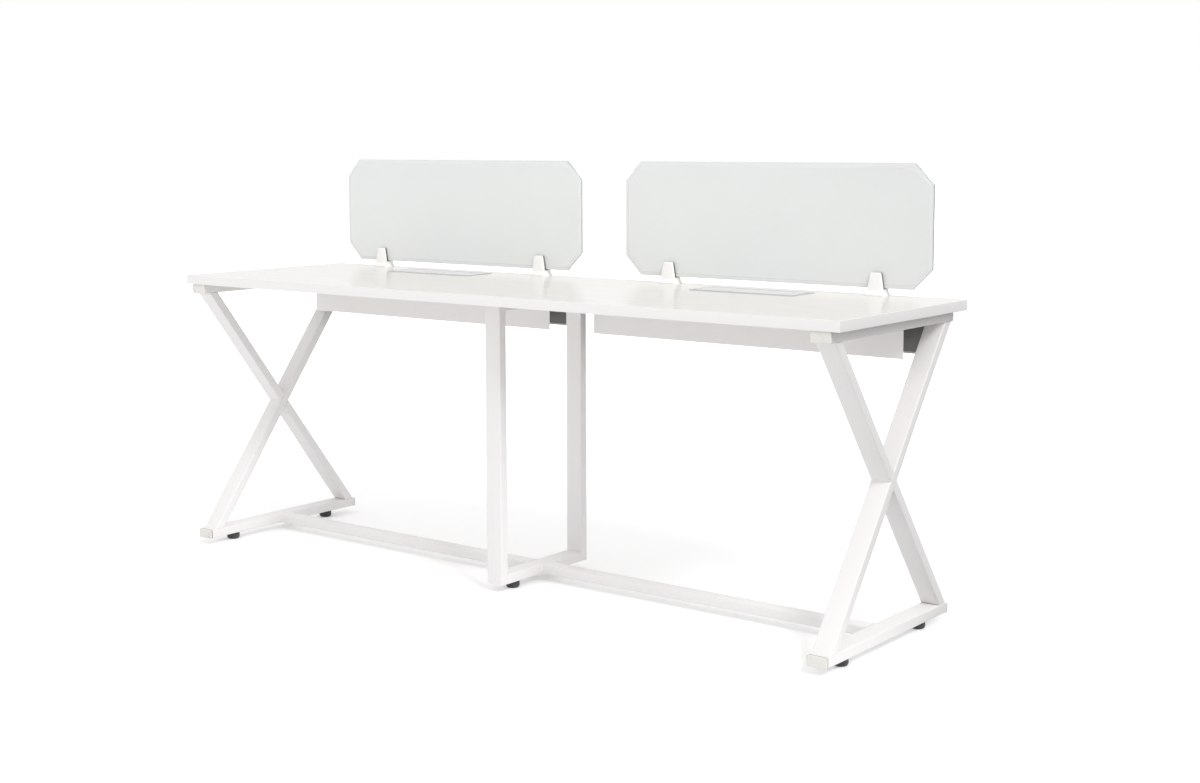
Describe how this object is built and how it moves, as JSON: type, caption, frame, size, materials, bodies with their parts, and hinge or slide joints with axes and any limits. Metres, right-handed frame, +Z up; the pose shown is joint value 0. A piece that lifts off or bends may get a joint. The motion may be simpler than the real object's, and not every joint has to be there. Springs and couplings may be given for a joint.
{
  "type": "benching desk",
  "caption": "Long shared desk with a white worktop on crossed tube legs, floor stretchers, cable trays, hinged cable flaps and frosted glass privacy screens.",
  "frame": {"origin": "on the floor, under the middle of the worktop", "axes": "+X along the desk, +Y from the users towards the screens, +Z up"},
  "size_m": [2.1, 0.6, 1.088],
  "materials": {
    "white_paint": "smooth satin powder coat on steel tube and sheet",
    "white_laminate": "white melamine-faced board, satin",
    "white_edging": "thin plastic edging with eased corners",
    "cream_cap": "moulded plastic, warm off-white",
    "white_plastic": "moulded white plastic",
    "dark_plastic": "moulded near-black plastic",
    "zinc_steel": "bright zinc-plated steel",
    "satin_aluminium": "satin light-grey aluminium",
    "black_bristle": "dense black nylon bristle",
    "green_rubber": "dark green-black rubber",
    "frosted_glass": "acid-etched pale green glass, clear bevelled margin"
  },
  "bodies": {
    "frame": {"left_cable_tray": "white_paint", "left_flap_bezel": "satin_aluminium", "left_flap_brush": "black_bristle", "left_flap_hinge_pin": "zinc_steel", "left_leg_lower_front_cap": "cream_cap", "left_leg_lower_half_diagonal": "white_paint", "left_leg_lower_rail": "white_paint", "left_leg_lower_rear_cap": "cream_cap", "left_leg_upper_front_cap": "cream_cap", "left_leg_upper_half_diagonal": "white_paint", "left_leg_upper_rail": "white_paint", "left_leg_upper_rear_cap": "cream_cap", "left_leg_whole_diagonal": "white_paint", "left_screen_glass": "frosted_glass", "left_screen_left_clamp": "white_plastic", "left_screen_left_clamp_lining": "green_rubber", "left_screen_right_clamp": "white_plastic", "left_screen_right_clamp_lining": "green_rubber", "left_stretcher": "white_paint", "middle_leg_front_post": "white_paint", "middle_leg_lower_rail": "white_paint", "middle_leg_rear_post": "white_paint", "middle_leg_upper_rail": "white_paint", "right_cable_tray": "white_paint", "right_flap_bezel": "satin_aluminium", "right_flap_brush": "black_bristle", "right_flap_hinge_pin": "zinc_steel", "right_leg_lower_front_cap": "cream_cap", "right_leg_lower_half_diagonal": "white_paint", "right_leg_lower_rail": "white_paint", "right_leg_lower_rear_cap": "cream_cap", "right_leg_upper_front_cap": "cream_cap", "right_leg_upper_half_diagonal": "white_paint", "right_leg_upper_rail": "white_paint", "right_leg_upper_rear_cap": "cream_cap", "right_leg_whole_diagonal": "white_paint", "right_screen_glass": "frosted_glass", "right_screen_left_clamp": "white_plastic", "right_screen_left_clamp_lining": "green_rubber", "right_screen_right_clamp": "white_plastic", "right_screen_right_clamp_lining": "green_rubber", "right_stretcher": "white_paint", "worktop_board": "white_laminate", "worktop_edge_band": "white_edging"},
    "left_flap": {"left_flap_lid": "satin_aluminium"},
    "right_flap": {"right_flap_lid": "satin_aluminium"},
    "left_front_foot": {"left_front_foot_pad": "dark_plastic"},
    "left_front_foot_screw": {"left_front_foot_stud": "zinc_steel"},
    "left_rear_foot": {"left_rear_foot_pad": "dark_plastic"},
    "left_rear_foot_screw": {"left_rear_foot_stud": "zinc_steel"},
    "right_front_foot": {"right_front_foot_pad": "dark_plastic"},
    "right_front_foot_screw": {"right_front_foot_stud": "zinc_steel"},
    "right_rear_foot": {"right_rear_foot_pad": "dark_plastic"},
    "right_rear_foot_screw": {"right_rear_foot_stud": "zinc_steel"},
    "middle_front_foot": {"middle_front_foot_pad": "dark_plastic"},
    "middle_front_foot_screw": {"middle_front_foot_stud": "zinc_steel"},
    "middle_rear_foot": {"middle_rear_foot_pad": "dark_plastic"},
    "middle_rear_foot_screw": {"middle_rear_foot_stud": "zinc_steel"}
  },
  "joints": [
    {"name": "left_flap_hinge", "type": "hinge", "parent": "frame", "child": "left_flap", "pos_m": [-0.525, 0.224, 0.7685], "axis": [-1, 0, 0], "range_deg": [0, 95]},
    {"name": "right_flap_hinge", "type": "hinge", "parent": "frame", "child": "right_flap", "pos_m": [0.525, 0.224, 0.7685], "axis": [-1, 0, 0], "range_deg": [0, 95]},
    {"name": "left_front_foot_level", "type": "slide", "parent": "frame", "child": "left_front_foot", "axis": [0, 0, -1], "range_m": [0, 0.01]},
    {"name": "left_front_foot_turn", "type": "hinge", "parent": "left_front_foot", "child": "left_front_foot_screw", "pos_m": [-1.002, -0.194, 0.025], "axis": [0, 0, -1], "range_deg": [0, 2405]},
    {"name": "left_rear_foot_level", "type": "slide", "parent": "frame", "child": "left_rear_foot", "axis": [0, 0, -1], "range_m": [0, 0.01]},
    {"name": "left_rear_foot_turn", "type": "hinge", "parent": "left_rear_foot", "child": "left_rear_foot_screw", "pos_m": [-1.002, 0.17, 0.025], "axis": [0, 0, -1], "range_deg": [0, 2405]},
    {"name": "right_front_foot_level", "type": "slide", "parent": "frame", "child": "right_front_foot", "axis": [0, 0, -1], "range_m": [0, 0.01]},
    {"name": "right_front_foot_turn", "type": "hinge", "parent": "right_front_foot", "child": "right_front_foot_screw", "pos_m": [1.002, -0.194, 0.025], "axis": [0, 0, -1], "range_deg": [0, 2405]},
    {"name": "right_rear_foot_level", "type": "slide", "parent": "frame", "child": "right_rear_foot", "axis": [0, 0, -1], "range_m": [0, 0.01]},
    {"name": "right_rear_foot_turn", "type": "hinge", "parent": "right_rear_foot", "child": "right_rear_foot_screw", "pos_m": [1.002, 0.17, 0.025], "axis": [0, 0, -1], "range_deg": [0, 2405]},
    {"name": "middle_front_foot_level", "type": "slide", "parent": "frame", "child": "middle_front_foot", "axis": [0, 0, -1], "range_m": [0, 0.01]},
    {"name": "middle_front_foot_turn", "type": "hinge", "parent": "middle_front_foot", "child": "middle_front_foot_screw", "pos_m": [0, -0.122, 0.025], "axis": [0, 0, -1], "range_deg": [0, 2405]},
    {"name": "middle_rear_foot_level", "type": "slide", "parent": "frame", "child": "middle_rear_foot", "axis": [0, 0, -1], "range_m": [0, 0.01]},
    {"name": "middle_rear_foot_turn", "type": "hinge", "parent": "middle_rear_foot", "child": "middle_rear_foot_screw", "pos_m": [0, 0.086, 0.025], "axis": [0, 0, -1], "range_deg": [0, 2405]}
  ],
  "couplings": [
    {"joint": "left_front_foot_turn", "follows": "left_front_foot_level", "rad_per_m": 4188.8},
    {"joint": "left_rear_foot_turn", "follows": "left_rear_foot_level", "rad_per_m": 4188.8},
    {"joint": "right_front_foot_turn", "follows": "right_front_foot_level", "rad_per_m": 4188.8},
    {"joint": "right_rear_foot_turn", "follows": "right_rear_foot_level", "rad_per_m": 4188.8},
    {"joint": "middle_front_foot_turn", "follows": "middle_front_foot_level", "rad_per_m": 4188.8},
    {"joint": "middle_rear_foot_turn", "follows": "middle_rear_foot_level", "rad_per_m": 4188.8}
  ]
}
